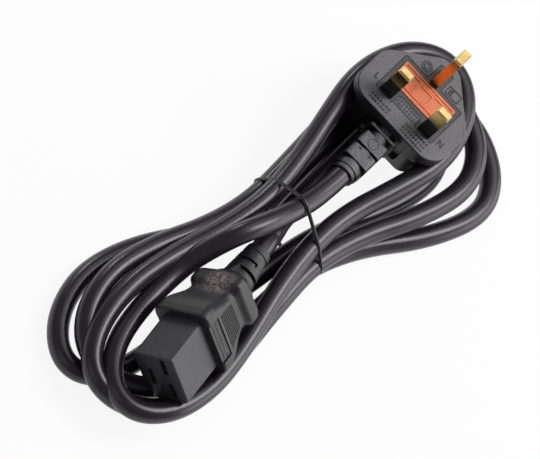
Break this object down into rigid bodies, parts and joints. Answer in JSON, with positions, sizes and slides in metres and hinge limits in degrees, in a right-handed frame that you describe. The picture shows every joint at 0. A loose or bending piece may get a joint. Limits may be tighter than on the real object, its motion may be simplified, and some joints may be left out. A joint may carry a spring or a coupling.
{
  "type": "uk three pin plug",
  "caption": "Moulded black mains plug with flat rectangular brass pins and an orange fuse carrier in its face, its round cord tied in a loose hank that ends in an appliance connector.",
  "frame": {"origin": "on the plane of the plug's pin face, midway between the line and neutral pins", "axes": "+X from the line pin to the neutral pin, +Y towards the earth pin, +Z out of the face along the pins; the hank lies on a surface at Z = -0.035"},
  "size_m": [0.1014, 0.2358, 0.0577],
  "materials": {
    "body_black": "moulded black plastic, spark textured face",
    "insert_black": "smooth black plastic",
    "carrier_orange": "orange plastic, satin",
    "sleeve_black": "black insulating sleeve",
    "pin_brass": "machined brass, satin",
    "fuse_ceramic": "white ceramic tube",
    "fuse_cap": "plated end cap",
    "contact_brass": "rolled brass strip",
    "core_brown": "brown core insulation",
    "core_blue": "blue core insulation",
    "core_green": "green and yellow core insulation",
    "cord_black": "black flexible cord sheath, satin",
    "tie_black": "black flat tie",
    "connector_black": "moulded black plastic, satin",
    "nose_black": "dark grey black plastic, matte"
  },
  "bodies": {
    "plug": {"plug_overmould": "body_black", "plug_insert": "insert_black", "earth_pin": "pin_brass", "line_pin": "pin_brass", "neutral_pin": "pin_brass", "line_sleeve": "sleeve_black", "neutral_sleeve": "sleeve_black", "fuse_clip_line": "contact_brass", "fuse_clip_supply": "contact_brass", "neutral_terminal": "contact_brass", "earth_terminal": "contact_brass", "plug_core_line": "core_brown", "plug_core_neutral": "core_blue", "plug_core_earth": "core_green", "plug_lead": "cord_black", "hank": "cord_black", "connector_lead": "cord_black", "cord_tie": "tie_black", "connector_overmould": "connector_black", "connector_insert": "nose_black", "contact_line": "contact_brass", "contact_neutral": "contact_brass", "contact_earth": "contact_brass", "connector_core_line": "core_brown", "connector_core_neutral": "core_blue", "connector_core_earth": "core_green"},
    "carrier": {"fuse_carrier": "carrier_orange", "fuse_tube": "fuse_ceramic", "fuse_cap_line": "fuse_cap", "fuse_cap_supply": "fuse_cap"}
  },
  "joints": [
    {"name": "carrier_slide", "type": "slide", "parent": "plug", "child": "carrier", "axis": [0, 0, 1], "range_m": [0, 0.014]}
  ]
}
